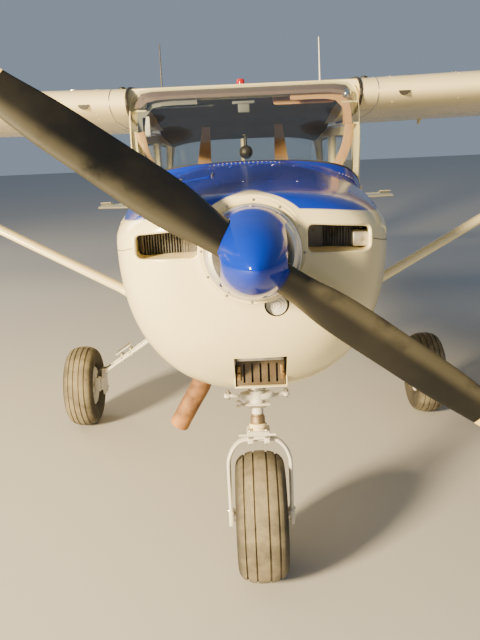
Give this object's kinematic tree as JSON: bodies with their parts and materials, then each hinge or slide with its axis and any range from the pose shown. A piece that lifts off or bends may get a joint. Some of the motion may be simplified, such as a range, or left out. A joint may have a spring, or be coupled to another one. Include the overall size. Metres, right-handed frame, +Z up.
{
  "type": "light aircraft",
  "caption": "Light aircraft with a high strut-braced wing, nose propeller, tricycle gear, hollow cabin with doors, and movable wing and tail surfaces.",
  "frame": {"origin": "on the ground under the middle of the overall length and span", "axes": "+Z up, nose towards -Y, left wing towards +X"},
  "size_m": [10.1, 6.58, 2.1653],
  "materials": {
    "white_paint": "glossy warm white enamel on aluminium sheet, weathered",
    "blue_paint": "glossy blue enamel on aluminium sheet",
    "gear_white": "satin white enamel with grime",
    "engine_metal": "matt black heat-proof paint",
    "bare_metal": "bare aluminium sheet",
    "filter_metal": "stained aluminium frame",
    "rusty_steel": "heat-browned rusty steel",
    "propeller_black": "satin black paint",
    "glazing": "clear acrylic sheet",
    "tyre_rubber": "dusty worn rubber",
    "red_lens": "red lamp lens",
    "cabin_black": "black vinyl and plastic",
    "tan_fabric": "tan woven upholstery",
    "aerial_plastic": "painted glass-fibre rod"
  },
  "bodies": {
    "airframe": {"nose_bowl": "white_paint", "cowl_top": "blue_paint", "cowl_bottom": "white_paint", "engine": "engine_metal", "firewall": "bare_metal", "air_filter": "filter_metal", "exhaust_pipe": "rusty_steel", "boot_cowl": "blue_paint", "cabin_floor": "white_paint", "cabin_side_left": "white_paint", "cabin_side_right": "white_paint", "side_window_left": "glazing", "side_window_right": "glazing", "windshield": "glazing", "cabin_rear": "white_paint", "rear_window": "glazing", "cabin_roof": "white_paint", "tail_cone": "white_paint", "wing_left": "white_paint", "wing_right": "white_paint", "strut_left": "white_paint", "strut_right": "white_paint", "gear_leg_left": "white_paint", "gear_leg_right": "white_paint", "axle_left": "gear_white", "axle_right": "gear_white", "nose_strut": "gear_white", "stabilizer": "white_paint", "fin": "white_paint", "beacon": "red_lens", "instrument_panel": "cabin_black", "seat_left": "tan_fabric", "seat_right": "tan_fabric", "compass": "cabin_black", "antenna_left": "aerial_plastic", "antenna_right": "aerial_plastic", "pitot_tube": "bare_metal"},
    "propeller": {"propeller": "propeller_black", "spinner": "blue_paint"},
    "nose_fork": {"nose_fork": "gear_white"},
    "nose_wheel": {"nose_wheel": "gear_white", "nose_tyre": "tyre_rubber"},
    "main_wheel_left": {"main_wheel_left": "gear_white", "main_tyre_left": "tyre_rubber"},
    "main_wheel_right": {"main_wheel_right": "gear_white", "main_tyre_right": "tyre_rubber"},
    "door_left": {"door_left": "white_paint", "door_window_left": "glazing"},
    "door_right": {"door_right": "white_paint", "door_window_right": "glazing"},
    "flap_left": {"flap_left": "white_paint"},
    "flap_right": {"flap_right": "white_paint"},
    "aileron_left": {"aileron_left": "white_paint"},
    "aileron_right": {"aileron_right": "white_paint"},
    "elevator": {"elevator": "white_paint"},
    "rudder": {"rudder": "white_paint"}
  },
  "joints": [
    {"name": "propeller_spin", "type": "hinge", "parent": "airframe", "child": "propeller", "pos_m": [0, -3.125, 1.275], "axis": [0, 1, 0], "continuous": true},
    {"name": "nose_steer", "type": "hinge", "parent": "airframe", "child": "nose_fork", "pos_m": [0, -2.496, 0.512], "axis": [0, 0.2079, 0.9781], "range_deg": [-30, 30]},
    {"name": "nose_wheel_spin", "type": "hinge", "parent": "nose_fork", "child": "nose_wheel", "pos_m": [0, -2.52, 0.232], "axis": [1, 0, 0], "continuous": true},
    {"name": "main_wheel_left_spin", "type": "hinge", "parent": "airframe", "child": "main_wheel_left", "pos_m": [0.972, -1.02, 0.225], "axis": [1, 0, 0], "continuous": true},
    {"name": "main_wheel_right_spin", "type": "hinge", "parent": "airframe", "child": "main_wheel_right", "pos_m": [-0.972, -1.02, 0.225], "axis": [1, 0, 0], "continuous": true},
    {"name": "door_left_hinge", "type": "hinge", "parent": "airframe", "child": "door_left", "pos_m": [0.503, -1.648, 1.1], "axis": [0, 0, -1], "range_deg": [0, 70]},
    {"name": "door_right_hinge", "type": "hinge", "parent": "airframe", "child": "door_right", "pos_m": [-0.503, -1.648, 1.1], "axis": [0, 0, 1], "range_deg": [0, 70]},
    {"name": "flap_left_hinge", "type": "hinge", "parent": "airframe", "child": "flap_left", "pos_m": [1.525, -0.42, 1.6165], "axis": [-0.9998, 0, -0.0175], "range_deg": [0, 40]},
    {"name": "flap_right_hinge", "type": "hinge", "parent": "airframe", "child": "flap_right", "pos_m": [-1.525, -0.42, 1.6165], "axis": [-0.9998, 0, 0.0175], "range_deg": [0, 40]},
    {"name": "aileron_left_hinge", "type": "hinge", "parent": "airframe", "child": "aileron_left", "pos_m": [3.63, -0.512, 1.754], "axis": [0.9862, -0.1631, 0.0292], "range_deg": [-17, 17]},
    {"name": "aileron_right_hinge", "type": "hinge", "parent": "airframe", "child": "aileron_right", "pos_m": [-3.63, -0.512, 1.754], "axis": [0.9862, 0.1631, -0.0292], "range_deg": [-17, 17]},
    {"name": "elevator_hinge", "type": "hinge", "parent": "airframe", "child": "elevator", "pos_m": [0, 2.78, 0.93], "axis": [1, 0, 0], "range_deg": [0, 40]},
    {"name": "rudder_hinge", "type": "hinge", "parent": "airframe", "child": "rudder", "pos_m": [0, 2.925, 1.4], "axis": [0, 0, 1], "range_deg": [-20, 20]}
  ],
  "couplings": [
    {"joint": "flap_right_hinge", "follows": "flap_left_hinge", "ratio": 1},
    {"joint": "aileron_right_hinge", "follows": "aileron_left_hinge", "ratio": -1}
  ]
}
